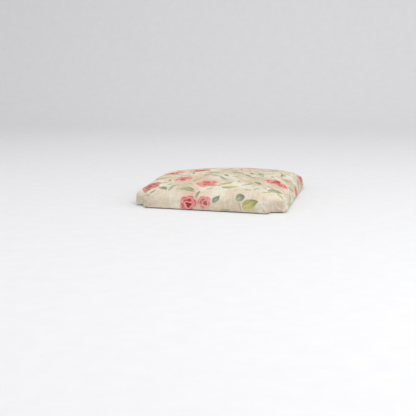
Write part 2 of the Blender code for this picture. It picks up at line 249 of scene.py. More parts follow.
def set_points(mesh, points):
    mesh.vertices.foreach_set("co", points.astype(np.float32).ravel())
    mesh.update()


def thin_rings(piece):
    """Takes out every second loop of the dense rings below the top, which keeps the quads even."""
    bm = bmesh.new()
    bm.from_mesh(piece.data)
    bm.verts.ensure_lookup_table()
    ring = {vert: 0 for vert in bm.verts if vert.is_boundary}
    front = list(ring)
    for step in range(1, len(RINGS) * 2 ** FINE_LEVELS):
        beyond = [edge.other_vert(vert) for vert in front for edge in vert.link_edges]
        front = list(dict.fromkeys(vert for vert in beyond if vert not in ring))
        ring.update((vert, step) for vert in front)
    odd = [
        edge for edge in bm.edges
        if ring.get(edge.verts[0], 0) % 2 and ring[edge.verts[0]] == ring.get(edge.verts[1])
    ]
    bmesh.ops.dissolve_edges(bm, edges=odd, use_verts=True)
    bm.to_mesh(piece.data)
    bm.free()


# ---- the flat cloth ----
def soft_depth(x, y):
    """How far points of the plan lie inside the outline, eased where two of its edges are as near."""
    across = np.maximum(notch_half_width(y) - np.abs(x), 0)
    edges = [
        half_width(y) - np.abs(x), y - FRONT_Y, BACK_Y - y,
        np.hypot(across, np.maximum(y - FRONT_NOTCH_Y, 0)),
        np.hypot(across, np.maximum(BACK_NOTCH_Y - y, 0)),
    ]
    return -TURN_EASE * np.log(sum(np.exp(-edge / TURN_EASE) for edge in edges))


def outwards(x, y):
    """The direction in plan that leads out of the pad by its nearest edge, taken over a step wide
    enough to turn softly in the notches."""
    step = 0.004
    out = np.stack([
        soft_depth(x - step, y) - soft_depth(x + step, y),
        soft_depth(x, y - step) - soft_depth(x, y + step),
    ], axis=1)
    return out / np.maximum(np.linalg.norm(out, axis=1, keepdims=True), 1e-9)


def cloth_places(points):
    """Where points of the cover lie on the flat cloth: their place in plan, moved outwards by
    the cloth that the roll, the side and the turn-under take up."""
    x, y, z = points.T
    out = outwards(x, y)
    rolled = np.clip((SHOULDER_HEIGHT + ROLL_RISE - z) / ROLL_RISE, 0, 1) ** 2 * ROLL_TAKES
    fallen = np.maximum(SHOULDER_HEIGHT - z, 0)
    turned = np.where(z < UNDERSIDE + TUCK, 2 * np.maximum(edge_distance(x, y), 0), 0)
    flat = np.zeros_like(points)
    flat[:, :2] = np.stack([x, y], axis=1) + out * (rolled + fallen + turned)[:, None]
    return flat


def store(mesh, name, values, domain="POINT"):
    """Stores a vector or a colour for each point or face corner of a mesh."""
    kind, field = ("FLOAT_COLOR", "color") if values.shape[1] == 4 else ("FLOAT_VECTOR", "vector")
    attribute = mesh.attributes.new(name, kind, domain)
    attribute.data.foreach_set(field, values.astype(np.float32).ravel())


# ---- the cover's form ----
def from_inner_corner(x, y):
    """Distance in plan to the nearest notch's inner corner."""
    front = np.hypot(np.abs(x) - FRONT_WIDTH / 2 + FRONT_NOTCH_WIDE, y - FRONT_NOTCH_Y)
    back = np.hypot(np.abs(x) - BACK_WIDTH / 2 + BACK_NOTCH_WIDE, y - BACK_NOTCH_Y)
    return np.minimum(front, back)


def held_share(points):
    """How firmly the cover is held: by its staples along the bottom, and in the notches, where the
    chair's posts stand."""
    x, y, z = points.T
    low = 1 - smoothstep(z, UNDERSIDE + 0.001, SHOULDER_HEIGHT - 0.006)
    near_notch = np.exp(-(from_inner_corner(x, y) / 0.034) ** 2)
    return np.maximum(low, near_notch * (1 - smoothstep(z, SHOULDER_HEIGHT, SHOULDER_HEIGHT + ROLL_RISE)))


def inflate(piece):
    """Swells the piece as stretched cloth under pressure, held at its bottom edge and in the notches."""
    rest = points_of(piece.data)
    held = piece.vertex_groups.new(name="held")
    holds = held_share(rest)
    for index in np.flatnonzero(holds > 0.01):
        held.add([int(index)], float(holds[index]), "REPLACE")
    cloth = piece.modifiers.new("cloth", "CLOTH")
    cloth.settings.quality = 6
    cloth.settings.mass = 0.3
    cloth.settings.tension_stiffness = 12
    cloth.settings.compression_stiffness = 12
    cloth.settings.shear_stiffness = 4
    cloth.settings.bending_stiffness = 0.4
    cloth.settings.shrink_min = -0.012
    cloth.settings.use_pressure = True
    cloth.settings.uniform_pressure_force = PRESSURE
    cloth.settings.vertex_group_mass = held.name
    cloth.settings.effector_weights.gravity = 0
    cloth.collision_settings.use_collision = False
    cloth.point_cache.frame_start = 1
    cloth.point_cache.frame_end = SIMULATED_FRAMES
    for step in range(1, SIMULATED_FRAMES + 1):
        bpy.context.scene.frame_set(step)
    bake(piece)
    bpy.context.scene.frame_set(1)
    piece.vertex_groups.clear()
    moved = points_of(piece.data) - rest
    length = np.linalg.norm(moved, axis=1, keepdims=True)
    limited = moved * np.minimum(1, MOST_SWELL / np.maximum(length, 1e-9))
    set_points(piece.data, rest + limited)


def waves(places, count, shortest, longest, seed):
    """A smooth random field from -1 to 1: sine waves of random directions and lengths."""
    draw = np.random.default_rng(seed)
    total = np.zeros(len(places))
    for _ in range(count):
        angle, phase = draw.uniform(0, WHOLE_TURN, 2)
        length = draw.uniform(shortest, longest)
        along = places[:, 0] * math.cos(angle) + places[:, 1] * math.sin(angle)
        total += np.sin(along * WHOLE_TURN / length + phase)
    return total / count


def notch_corners():
    """Where each of the four notches meets the pad's side, and where it meets the pad's end."""
    places = []
    for side in (-1, 1):
        places.append((side * half_width(FRONT_NOTCH_Y), FRONT_NOTCH_Y))
        places.append((side * half_width(BACK_NOTCH_Y), BACK_NOTCH_Y))
        places.append((side * (FRONT_WIDTH / 2 - FRONT_NOTCH_WIDE), FRONT_Y))
        places.append((side * (BACK_WIDTH / 2 - BACK_NOTCH_WIDE), BACK_Y))
    return places


SOFT_HOLLOWS, WRINKLES = 0.0005, 0.0003    # how high each kind of unevenness stands
FOLDS, PLEATS, NIPS = 0.0019, 0.0006, 0.0005
NIP_SPACE = (0.036, 0.041)    # between the nips at the staples, across and along
FLAT_NEAR, FLAT_FAR = 0.006, 0.018    # the folds fade out towards a notch's inner corner


def crease(piece):
    """Folds that fan from the notches' outer corners, soft hollows, and a bottom edge drawn in by
    its staples."""
    points, normals = points_of(piece.data), normals_of(piece.data)
    x, y, z = points.T
    flat = cloth_of(piece.data)
    low = 1 - smoothstep(z, SHOULDER_HEIGHT, SHOULDER_HEIGHT + ROLL_RISE)
    underneath = 1 - smoothstep(z, UNDERSIDE + 0.001, UNDERSIDE + TUCK)
    lift = SOFT_HOLLOWS * waves(flat, 9, 0.045, 0.11, 3)
    lift += WRINKLES * waves(flat, 12, 0.016, 0.034, 5) * (0.35 + 0.65 * low)
    for index, (corner_x, corner_y) in enumerate(notch_corners()):
        from_x, from_y = x - corner_x, y - corner_y
        distance = np.sqrt(from_x ** 2 + from_y ** 2 + (0.6 * (z - UNDERSIDE)) ** 2)
        along = np.hypot(from_x, from_y)
        turn = np.arctan2(z - UNDERSIDE + 0.004, along + 0.001)
        fans = np.sin(turn * 9 + index * 1.3) + 0.5 * np.sin(turn * 17 + index * 2.1)
        near = np.exp(-distance / 0.028) * smoothstep(distance, 0.001, 0.010)
        lift += FOLDS * near * fans * (1 - underneath)
        pleats = np.sin(np.arctan2(from_y, from_x) * 11 + index)
        lift += PLEATS * np.exp(-along / 0.016) * pleats * underneath
    across, along = (np.sin(flat[:, side] * WHOLE_TURN / NIP_SPACE[side]) for side in (0, 1))
    lift += NIPS * (across * along) * (1 - smoothstep(z, 0.004, 0.016)) * (1 - underneath)
    lift *= smoothstep(from_inner_corner(x, y), FLAT_NEAR, FLAT_FAR)
    set_points(piece.data, points + normals * lift[:, None])


def make_form():
    """The cover's outer surface, one layer: the simulated cloth mixed with the CAD's form."""
    form = cage()
    modify(form, "SUBSURF", levels=FINE_LEVELS, render_levels=FINE_LEVELS)
    thin_rings(form)
    points = points_of(form.data)
    store(form.data, "cloth", cloth_places(points))
    shrink = START_INSET * (1 - held_share(points))
    set_points(form.data, points - normals_of(form.data) * shrink[:, None])
    inflate(form)
    set_points(form.data, mix(points_of(form.data), points, FOAM_HOLDS))
    return form


def make_cover(form):
    """The printed cover. The form is left with the cover's creased outer surface, which the
    filling follows: subdivision keeps the form's points first."""
    cover = copy_of(form, "printed_cover")
    modify(cover, "SUBSURF", levels=1, render_levels=1)
    crease(cover)
    set_points(form.data, points_of(cover.data)[:len(form.data.vertices)])
    modify(cover, "SOLIDIFY", thickness=COVER_THICK, offset=-1)
    cover.data.shade_smooth()
    cover.data.materials.append(printed_cloth(lay_print(cover.data)))
    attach(cover, "root")
    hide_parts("cover")
    return cover


# ---- short calls for shader nodes ----
def colour(red, green, blue):
    """sRGB, 0 to 255, as the linear colour that a shader takes."""
    parts = [part / 255 for part in (red, green, blue)]
    linear = [part / 12.92 if part <= 0.04045 else ((part + 0.055) / 1.055) ** 2.4 for part in parts]
    return (*linear, 1.0)


class Nodes:
    """Makes shader nodes: each call takes sockets or plain values and gives back a socket."""

    def __init__(self, tree):
        self.tree = tree

    def node(self, kind, **settings):
        made = self.tree.nodes.new("ShaderNode" + kind)
        for name, value in settings.items():
            setattr(made, name, value)
        return made

    def feed(self, socket, value):
        if isinstance(value, bpy.types.NodeSocket):
            self.tree.links.new(value, socket)
        else:
            socket.default_value = value

    def math(self, operation, *values):
        made = self.node("Math", operation=operation)
        for socket, value in zip(made.inputs, values):
            self.feed(socket, value)
        return made.outputs[0]

    def vector(self, operation, *values):
        made = self.node("VectorMath", operation=operation)
        for socket, value in zip(made.inputs, values):
            self.feed(socket, value)
        return made.outputs["Value" if operation == "LENGTH" else "Vector"]

    def scale(self, vector, factor):
        made = self.node("VectorMath", operation="SCALE")
        self.feed(made.inputs[0], vector)
        self.feed(made.inputs["Scale"], factor)
        return made.outputs["Vector"]

    def stretch(self, vector, x, y, z=1.0):
        return self.vector("MULTIPLY", vector, (x, y, z))

    def parts(self, vector):
        made = self.node("SeparateXYZ")
        self.feed(made.inputs[0], vector)
        return made.outputs

    def noise(self, place, scale, detail=2.0, roughness=0.5, output="Fac"):
        made = self.node("TexNoise")
        self.feed(made.inputs["Vector"], place)
        for name, value in (("Scale", scale), ("Detail", detail), ("Roughness", roughness)):
            self.feed(made.inputs[name], value)
        return made.outputs[output]

    def ease(self, value, low, high, start=0.0, end=1.0):
        """A smooth step: start below low, end above high."""
        made = self.node("MapRange", interpolation_type="SMOOTHSTEP")
        for socket, part in zip(made.inputs, (value, low, high, start, end)):
            self.feed(socket, part)
        return made.outputs[0]

    def mix(self, share, a, b, blend="MIX"):
        made = self.node("Mix", data_type="RGBA", blend_type=blend)
        for socket, value in zip((made.inputs[0], made.inputs[6], made.inputs[7]), (share, a, b)):
            self.feed(socket, value)
        return made.outputs[2]

    def ramp(self, value, stops):
        made = self.node("ValToRGB")
        elements = made.color_ramp.elements
        while len(elements) < len(stops):
            elements.new(0.5)
        for element, (place, shade) in zip(elements, stops):
            element.position = place
            element.color = shade
        self.feed(made.inputs[0], value)
        return made.outputs[0]


def new_material(name, roughness, sheen=0.0, metallic=0.0, specular=0.5):
    """A material with a Principled shader, and the Nodes that build on it."""
    made = bpy.data.materials.new(name)
    made.use_nodes = True
    nodes = Nodes(made.node_tree)
    shader = made.node_tree.nodes["Principled BSDF"]
    shader.inputs["Roughness"].default_value = roughness
    shader.inputs["Metallic"].default_value = metallic
    shader.inputs["Specular IOR Level"].default_value = specular
    shader.inputs["Sheen Weight"].default_value = sheen
    shader.inputs["Sheen Roughness"].default_value = 0.4
    return made, nodes, shader


def bump(nodes, shader, height, distance, strength=1.0):
    made = nodes.node("Bump")
    made.inputs["Strength"].default_value = strength
    made.inputs["Distance"].default_value = distance
    nodes.feed(made.inputs["Height"], height)
    nodes.feed(shader.inputs["Normal"], made.outputs[0])


# ---- the print ----
CREAM, SAND = colour(247, 241, 226), colour(230, 213, 193)
OLIVE_WASH, PEACH_WASH = colour(207, 202, 170), colour(238, 208, 188)
DEEP_RED, ROSE_RED, ROSE = colour(146, 8, 30), colour(202, 48, 68), colour(226, 94, 108)
ROSE_PALE, BLUSH = colour(238, 150, 152), colour(246, 206, 194)
OLIVE, OLIVE_DARK = colour(208, 202, 118), colour(122, 126, 52)
SAGE, SAGE_DARK = colour(164, 180, 142), colour(92, 114, 88)
TEAL, TEAL_DARK = colour(132, 168, 152), colour(52, 74, 78)
BROWN_PINK, PEACH, STEM = colour(188, 114, 104), colour(238, 160, 132), colour(122, 102, 98)
REPEAT = (0.52, 0.46)    # the print's repeat, across and along

# Roses: place on the flat cloth, radius, turn, share of a tint laid over it, the tint.
ROSES = [
    ((-0.192, 0.046), 0.0235, 4.1, 0.00, BLUSH),
    ((-0.193, 0.009), 0.0190, -1.4, 0.18, BLUSH),
    ((-0.126, 0.010), 0.0280, 1.1, 0.35, PEACH),
    ((-0.080, 0.074), 0.0250, 4.0, 0.15, BLUSH),
    ((0.024, 0.056), 0.0300, 5.1, 0.00, BLUSH),
    ((0.010, 0.117), 0.0270, 2.9, 0.15, PEACH),
    ((-0.066, -0.142), 0.0310, 0.8, 0.00, BLUSH),
    ((-0.111, 0.145), 0.0265, 3.6, 0.45, BROWN_PINK),
    ((0.145, -0.182), 0.0210, 1.9, 0.10, BLUSH),
    ((0.118, -0.052), 0.0260, 0.1, 0.15, BLUSH),
    ((0.150, 0.036), 0.0220, 2.4, 0.35, PEACH),
    ((0.095, 0.160), 0.0230, 5.6, 0.10, BLUSH),
    ((0.205, -0.105), 0.0210, 4.4, 0.05, BLUSH),
    ((0.022, -0.196), 0.0200, 3.1, 0.30, PEACH),
    ((-0.020, 0.192), 0.0200, 1.5, 0.10, BLUSH),
]

# Leaves, buds and stems: middle, half length, the direction that the tip points, half width
# and bend as shares of the half length, base and tip colours.
LEAVES = [
    ((-0.189, -0.020), 0.0135, -0.72, 0.52, 0.08, TEAL, TEAL_DARK),
    ((-0.189, -0.075), 0.0115, -1.45, 0.98, 0.00, SAGE, TEAL_DARK),
    ((-0.212, -0.075), 0.0180, 0.10, 0.09, 0.12, STEM, STEM),
    ((-0.210, -0.097), 0.0220, -1.30, 0.62, 0.12, OLIVE, OLIVE_DARK),
    ((-0.158, 0.050), 0.0230, -1.91, 0.30, 0.20, SAGE, OLIVE_DARK),
    ((-0.141, 0.112), 0.0180, 0.9, 0.34, -0.15, SAGE_DARK, SAGE),
    ((-0.148, 0.133), 0.0130, 2.4, 0.34, 0.15, SAGE, SAGE_DARK),
    ((-0.047, 0.130), 0.0240, 1.9, 0.40, 0.12, OLIVE, OLIVE_DARK),
    ((-0.142, 0.082), 0.0200, -0.6, 0.24, 0.25, SAGE, SAGE_DARK),
    ((-0.076, -0.022), 0.0260, 0.5, 0.22, 0.22, SAGE, SAGE_DARK),
    ((-0.120, -0.032), 0.0220, -0.9, 0.28, -0.20, OLIVE, SAGE_DARK),
    ((-0.147, -0.044), 0.0230, 1.8, 0.34, 0.15, OLIVE, OLIVE_DARK),
    ((-0.118, -0.078), 0.0240, 2.5, 0.18, 0.25, SAGE, SAGE_DARK),
    ((-0.103, -0.100), 0.0200, 0.6, 0.28, -0.15, SAGE_DARK, SAGE),
    ((-0.148, -0.150), 0.0220, -1.2, 0.40, 0.18, SAGE, SAGE_DARK),
    ((-0.164, -0.166), 0.0180, -2.4, 0.36, -0.15, OLIVE, SAGE),
    ((-0.042, 0.028), 0.0240, 2.9, 0.28, 0.18, OLIVE, OLIVE_DARK),
    ((-0.015, -0.040), 0.0240, 1.2, 0.30, -0.18, SAGE, TEAL_DARK),
    ((0.042, -0.012), 0.0260, -0.3, 0.30, 0.20, OLIVE, OLIVE_DARK),
    ((0.066, -0.088), 0.0240, 2.1, 0.34, 0.15, SAGE, SAGE_DARK),
    ((0.052, -0.138), 0.0220, 0.4, 0.32, -0.18, SAGE, SAGE_DARK),
    ((0.075, 0.026), 0.0180, -1.6, 0.44, 0.10, TEAL, TEAL_DARK),
    ((0.060, 0.110), 0.0240, 0.7, 0.32, 0.20, OLIVE, OLIVE_DARK),
    ((0.130, 0.090), 0.0220, 2.2, 0.38, -0.14, SAGE, SAGE_DARK),
    ((0.165, -0.010), 0.0220, -0.5, 0.34, 0.16, SAGE, TEAL_DARK),
    ((0.160, -0.120), 0.0240, 1.4, 0.40, 0.12, OLIVE, OLIVE_DARK),
    ((0.105, -0.110), 0.0180, -2.0, 0.36, 0.10, TEAL, TEAL_DARK),
    ((0.200, 0.060), 0.0200, 2.8, 0.42, 0.12, OLIVE, OLIVE_DARK),
    ((0.000, -0.100), 0.0220, 0.2, 0.30, 0.22, SAGE, SAGE_DARK),
    ((-0.030, -0.180), 0.0200, 2.6, 0.40, -0.10, OLIVE, OLIVE_DARK),
    ((0.085, -0.190), 0.0180, 1.0, 0.38, 0.16, SAGE, TEAL_DARK),
    ((-0.070, 0.190), 0.0180, -0.4, 0.40, 0.14, SAGE, SAGE_DARK),
    ((0.040, 0.190), 0.0180, 2.0, 0.36, -0.14, OLIVE, OLIVE_DARK),
    ((-0.215, -0.036), 0.0160, 1.5, 0.30, 0.20, SAGE, OLIVE),
    ((-0.172, 0.022), 0.0120, -0.4, 0.34, 0.15, SAGE, SAGE_DARK),
    ((-0.218, 0.084), 0.0150, 1.2, 0.34, -0.15, SAGE, OLIVE_DARK),
    ((-0.206, 0.120), 0.0170, -1.9, 0.36, 0.15, OLIVE, SAGE_DARK),
    ((-0.055, -0.080), 0.0200, -2.2, 0.20, 0.22, SAGE, SAGE_DARK),
    ((0.030, 0.008), 0.0160, 2.4, 0.26, 0.20, SAGE, SAGE_DARK),
]
ROSE_SPACE, LEAF_SPACE = 1.00, 0.80    # how near motifs of one layer may come, in their sizes
QUIET_SIDE = -0.165                    # the scattered leaves keep out of the cloth beyond this


def scattered_leaves(tries=900):
    """More leaves and small buds in the gaps between the roses."""
    draw = np.random.default_rng(8)
    pairs = [
        (SAGE, SAGE_DARK), (OLIVE, OLIVE_DARK), (TEAL, TEAL_DARK),
        (SAGE_DARK, OLIVE_DARK), (ROSE_PALE, ROSE_RED),
    ]
    leaves = list(LEAVES)
    for _ in range(tries):
        place = (draw.uniform(QUIET_SIDE, REPEAT[0] / 2), draw.uniform(-0.5, 0.5) * REPEAT[1])
        half, turn, wide, bend = draw.uniform((0.010, 0, 0.16, -0.25), (0.022, WHOLE_TURN, 0.34, 0.25))
        base, tip = pairs[int(draw.choice(5, p=(0.22, 0.38, 0.08, 0.22, 0.10)))]
        off_roses = all(repeat_distance(place, rose[0]) > 0.85 * rose[1] + 0.7 * half for rose in ROSES)
        off_leaves = all(repeat_distance(place, leaf[0]) > 0.62 * (leaf[1] + half) for leaf in leaves)
        if off_roses and off_leaves:
            leaves.append((place, half, turn, wide, bend, base, tip))
    return leaves


def in_layers(motifs, space):
    """Sorts motifs into layers in which none comes near another, so that every face of the
    cover shows at most one motif of each layer."""
    layers = []
    for motif in motifs:
        for layer in layers:
            if all(repeat_distance(motif[0], other[0]) > space * (motif[1] + other[1]) for other in layer):
                layer.append(motif)
                break
        else:
            layers.append([motif])
    return layers


def repeat_distance(a, b):
    """The distance between two places of the print, to the nearest repeat."""
    apart = [(p - q + size / 2) % size - size / 2 for p, q, size in zip(a, b, REPEAT)]
    return math.hypot(*apart)


def lay_motifs(mesh, name, motifs):
    """Stores each face corner's place in the motif nearest to its face, in that motif's turn and
    size, as the attribute `name`. Gives back which motif each corner has."""
    cloth = cloth_of(mesh)[:, :2]
    corner_vertex = np.empty(len(mesh.loops), np.int32)
    mesh.loops.foreach_get("vertex_index", corner_vertex)
    first = np.empty(len(mesh.polygons), np.int32)
    mesh.polygons.foreach_get("loop_start", first)
    sides = np.diff(np.append(first, len(mesh.loops)))
    face_of = np.repeat(np.arange(len(first)), sides)
    corners = cloth[corner_vertex]
    middles = np.add.reduceat(corners, first, axis=0) / sides[:, None]
    repeat = np.array(REPEAT)
    centres = np.array([motif[0] for motif in motifs])
    sizes = np.array([motif[1] for motif in motifs])
    turns = np.array([motif[2] for motif in motifs])
    nearest, best = np.zeros(len(first), int), np.full(len(first), np.inf)
    for index, centre in enumerate(centres):
        away = middles - centre
        away -= repeat * np.round(away / repeat)
        distance = np.linalg.norm(away, axis=1) / sizes[index]
        nearest = np.where(distance < best, index, nearest)
        best = np.minimum(distance, best)
    chosen = nearest[face_of]
    shift = repeat * np.round((middles - centres[nearest]) / repeat)
    away = corners - centres[chosen] - shift[face_of]
    cos, sin = np.cos(turns[chosen]), np.sin(turns[chosen])
    place = np.zeros((len(corners), 3))
    place[:, 0] = (away[:, 0] * cos + away[:, 1] * sin) / sizes[chosen]
    place[:, 1] = (away[:, 1] * cos - away[:, 0] * sin) / sizes[chosen]
    store(mesh, name, place, "CORNER")
    return chosen


def lay_print(mesh):
    """Lays every layer of roses and leaves on the cover. Gives back the layers' names."""
    names = []
    for number, layer in enumerate(in_layers(scattered_leaves(), LEAF_SPACE), 1):
        name = f"leaf_{number}"
        chosen = lay_motifs(mesh, name, layer)
        shape = np.array([(motif[3], motif[4], 0) for motif in layer])
        store(mesh, name + "_shape", shape[chosen], "CORNER")
        store(mesh, name + "_base", np.array([motif[5] for motif in layer])[chosen], "CORNER")
        store(mesh, name + "_tip", np.array([motif[6] for motif in layer])[chosen], "CORNER")
        names.append(name)
    for number, layer in enumerate(in_layers(ROSES, ROSE_SPACE), 1):
        name = f"rose_{number}"
        chosen = lay_motifs(mesh, name, layer)
        tint = np.array([(*motif[4][:3], motif[3]) for motif in layer])
        store(mesh, name + "_tint", tint[chosen], "CORNER")
        names.append(name)
    return names


def read(nodes, name, output="Vector"):
    return nodes.node("Attribute", attribute_name=name).outputs[output]


def inside_rim(nodes, place, petals, turn, reach, depth):
    """How far a place lies inside a scalloped rim, one scallop to a petal."""
    x, y, _ = nodes.parts(place)
    around = nodes.math("MULTIPLY_ADD", nodes.math("ARCTAN2", y, x), petals / 2, turn)
    scallop = nodes.math("ABSOLUTE", nodes.math("SINE", around))
    rim = nodes.math("MULTIPLY_ADD", scallop, depth, reach)
    return nodes.math("SUBTRACT", rim, nodes.vector("LENGTH", place))


def ring_of_petals(nodes, rim, width, shades, under):
    """One ring of a rose's petals over what lies under it, shaded by the distance in from its rim.
    The rim is (place, petals, turn, reach, depth)."""
    inside = inside_rim(nodes, *rim)
    shade = nodes.ramp(nodes.math("DIVIDE", inside, width), shades)
    return nodes.mix(nodes.ease(inside, 0.0, 0.035), under, shade)


def paint_rose(nodes, name, wobble, ground):
    """A full rose from above: rings of petals, each with a pale rim and a dark fold, round a deep
    red heart."""
    place = nodes.vector("ADD", read(nodes, name), wobble)
    heart = nodes.vector("ADD", place, (-0.14, 0.20, 0.0))
    outer = [(0.0, ROSE), (0.10, BLUSH), (0.32, ROSE_PALE), (0.62, ROSE), (1.0, ROSE_RED)]
    inner = [(0.0, ROSE_RED), (0.12, BLUSH), (0.45, ROSE_PALE), (0.75, ROSE_RED), (1.0, DEEP_RED)]
    centre = [(0.0, ROSE_RED), (0.3, DEEP_RED)]
    shade = ring_of_petals(nodes, (place, 5, 0.4, 0.76, 0.20), 0.42, outer, ROSE)
    shade = ring_of_petals(nodes, (place, 4, 1.3, 0.52, 0.17), 0.34, outer, shade)
    shade = ring_of_petals(nodes, (heart, 3, 0.2, 0.33, 0.15), 0.26, inner, shade)
    shade = ring_of_petals(nodes, (heart, 3, 1.7, 0.13, 0.10), 0.20, centre, shade)
    tint = nodes.node("Attribute", attribute_name=name + "_tint")
    shade = nodes.mix(tint.outputs["Alpha"], shade, tint.outputs["Color"])
    mask = nodes.ease(inside_rim(nodes, place, 5, 0.4, 0.78, 0.20), 0.0, 0.07, 0.0, 0.94)
    return nodes.mix(mask, ground, shade)


def paint_leaf(nodes, name, wobble, ground):
    """A leaf, bud or stem: a bent pointed blade with a pale midrib and one side darker."""
    width, bend, _ = nodes.parts(read(nodes, name + "_shape"))
    base, tip = read(nodes, name + "_base", "Color"), read(nodes, name + "_tip", "Color")
    x, y, _ = nodes.parts(nodes.vector("ADD", read(nodes, name), wobble))
    arch = nodes.math("MAXIMUM", nodes.math("SUBTRACT", 1.0, nodes.math("MULTIPLY", x, x)), 0.0)
    off = nodes.math("SUBTRACT", y, nodes.math("MULTIPLY", arch, bend))
    aside = nodes.math("ABSOLUTE", off)
    taper = nodes.math("MULTIPLY_ADD", x, -0.35, 1.0)
    blade = nodes.math("MULTIPLY", nodes.math("MULTIPLY", arch, taper), width)
    inside = nodes.math("SUBTRACT", blade, aside)
    shade = nodes.mix(nodes.ease(x, -0.3, 0.95), base, tip)
    shade = nodes.mix(nodes.ease(off, -0.02, 0.05, 0.0, 0.35), shade, tip)
    slant = nodes.math("MULTIPLY_ADD", x, 4.5, nodes.math("MULTIPLY", aside, 3.0))
    vein = nodes.ease(nodes.math("FRACT", slant), 0.0, 0.18, 0.22, 0.0)
    shade = nodes.mix(vein, shade, tip)
    shade = nodes.mix(nodes.ease(aside, 0.02, 0.05, 0.45, 0.0), shade, CREAM)
    return nodes.mix(nodes.ease(inside, 0.0, 0.07, 0.0, 0.85), ground, shade)


def both_ways(nodes, cloth, along, across):
    """Noise drawn out along the threads of one direction, and along those of the other."""
    drawn = (nodes.stretch(cloth, along, across), nodes.stretch(cloth, across, along))
    return [nodes.noise(place, 1.0, 2.0, 0.6) for place in drawn]


def weave(nodes, cloth):
    """Height of a plain weave, and the slubs in its yarn. Only the weft is raised, where it passes
    over the warp: the warp lies flat between."""
    drifts = nodes.parts(nodes.noise(cloth, 90.0, 2.0, output="Color"))
    threads = []
    for place, drift in zip(nodes.parts(cloth)[:2], drifts[:2]):
        wandering = nodes.math("MULTIPLY_ADD", drift, THREAD_DRIFT, place)
        threads.append(nodes.math("SINE", nodes.math("MULTIPLY", wandering, math.pi / THREAD)))
    warp, weft = threads
    weft_over = nodes.ease(nodes.math("MULTIPLY", warp, weft), -0.25, 0.25, 1.0, 0.0)
    height = nodes.math("MULTIPLY", nodes.math("ABSOLUTE", weft), weft_over)
    thick = [nodes.ease(yarn, 0.52, 0.78) for yarn in both_ways(nodes, cloth, 26, 620)]
    return height, nodes.math("ADD", *thick)


def streaks(nodes, cloth):
    """Bands of thicker and thinner yarn both ways, a few millimetres apart."""
    return nodes.math("ADD", *both_ways(nodes, cloth, 18, 260))


def printed_cloth(layers):
    """Linen-cotton in a watercolour print of roses and leaves, laid out on the flat cloth."""
    made, nodes, shader = new_material("printed linen-cotton", 0.88, sheen=0.05, specular=0.15)
    cloth = read(nodes, "cloth")
    bleed = nodes.vector("SUBTRACT", nodes.noise(cloth, 75.0, 3.0, output="Color"), (0.5,) * 3)
    wobble = nodes.stretch(bleed, 0.36, 0.36, 0.0)
    washes = nodes.parts(nodes.noise(cloth, 11.0, 3.0, 0.6, output="Color"))
    ground = nodes.mix(nodes.ease(washes[0], 0.38, 0.62), CREAM, SAND)
    ground = nodes.mix(nodes.ease(washes[1], 0.50, 0.66, 0.0, 0.80), ground, OLIVE_WASH)
    ground = nodes.mix(nodes.ease(washes[2], 0.52, 0.68, 0.0, 0.65), ground, PEACH_WASH)
    for name in layers:
        paint = paint_rose if name.startswith("rose") else paint_leaf
        ground = paint(nodes, name, wobble, ground)
    pigment = nodes.noise(cloth, 210.0, 4.0, 0.65)
    granules = nodes.ramp(pigment, [(0.3, colour(190, 190, 190)), (0.7, colour(255, 255, 255))])
    ground = nodes.mix(0.35, ground, granules, "MULTIPLY")
    height, slubs = weave(nodes, cloth)
    # Painted shade: the colour is darkened where the weave lies low, between the threads and where the weft
    # passes under the warp.
    threads = nodes.ramp(height, [(0.0, colour(214, 208, 196)), (1.0, colour(255, 255, 255))])
    ground = nodes.mix(0.5, ground, threads, "MULTIPLY")
    ground = nodes.mix(nodes.math("MULTIPLY", slubs, 0.10), ground, colour(250, 244, 230))
    banded = nodes.ramp(nodes.math("MULTIPLY", streaks(nodes, cloth), 0.5), [
        (0.36, colour(222, 214, 198)), (0.52, colour(255, 255, 255)),
    ])
    ground = nodes.mix(0.45, ground, banded, "MULTIPLY")
    nodes.feed(shader.inputs["Base Color"], ground)
    nodes.feed(shader.inputs["Roughness"], nodes.ease(height, 0.0, 1.0, 0.95, 0.80))
    raised = nodes.math("MULTIPLY_ADD", slubs, 0.5, height)
    bump(nodes, shader, raised, 0.00035, 0.7)
    return made


# ---- the filling ----
FOLD_ROOM = 0.0034       # how much further in the filling lies behind the folds at the notches
WADDING_INSET, FOAM_INSET = 0.0028, 0.0066    # how far inside the cover's face each is drawn
WADDING_THICK = 0.0026
WADDING_CLEAR, FOAM_CLEAR = 0.0007, 0.0041    # the least room inside the cover's cloth
WADDING_TRIM = 0.0005    # its lower edge, above the CAD wadding's
FOAM_VOXEL = 0.004
UNEVEN = 0.0003          # how high the wadding's lumps and the foam's cut face stand
FOAM_SHRINK = 0.0004


def inside_form(form, name, inset, rounds):
    """A copy of the cover's form, drawn in along its normals, more so behind the folds at the
    notches, and smoothed, so that it rounds the corners well inside the cover."""
    made = copy_of(form, name)
    points = points_of(made.data)
    near = np.zeros(len(points))
    for corner_x, corner_y in notch_corners():
        away = np.hypot(points[:, 0] - corner_x, points[:, 1] - corner_y)
        near = np.maximum(near, np.exp(-(away / 0.026) ** 2))
    depth = inset + FOLD_ROOM * near
    set_points(made.data, points - normals_of(made.data) * depth[:, None])
    modify(made, "SMOOTH", factor=0.5, iterations=rounds)
    return made


def tuck_inside(piece, form, depth):
    """Moves every point that lies less than this depth inside the form down to that depth."""
    bm = bmesh.new()
    bm.from_mesh(form.data)
    surface = BVHTree.FromBMesh(bm)
    bm.free()
    points = points_of(piece.data)
    for index, point in enumerate(points):
        place, normal, _, _ = surface.find_nearest(Vector(point))
        if (Vector(point) - place).dot(normal) > -depth:
            points[index] = place - normal * depth
    set_points(piece.data, points)


def cut_level(bm, z, keep_above):
    geometry = list(bm.verts) + list(bm.edges) + list(bm.faces)
    bmesh.ops.bisect_plane(
        bm, geom=geometry, plane_co=(0, 0, z), plane_no=(0, 0, 1),
        clear_inner=keep_above, clear_outer=not keep_above,
    )


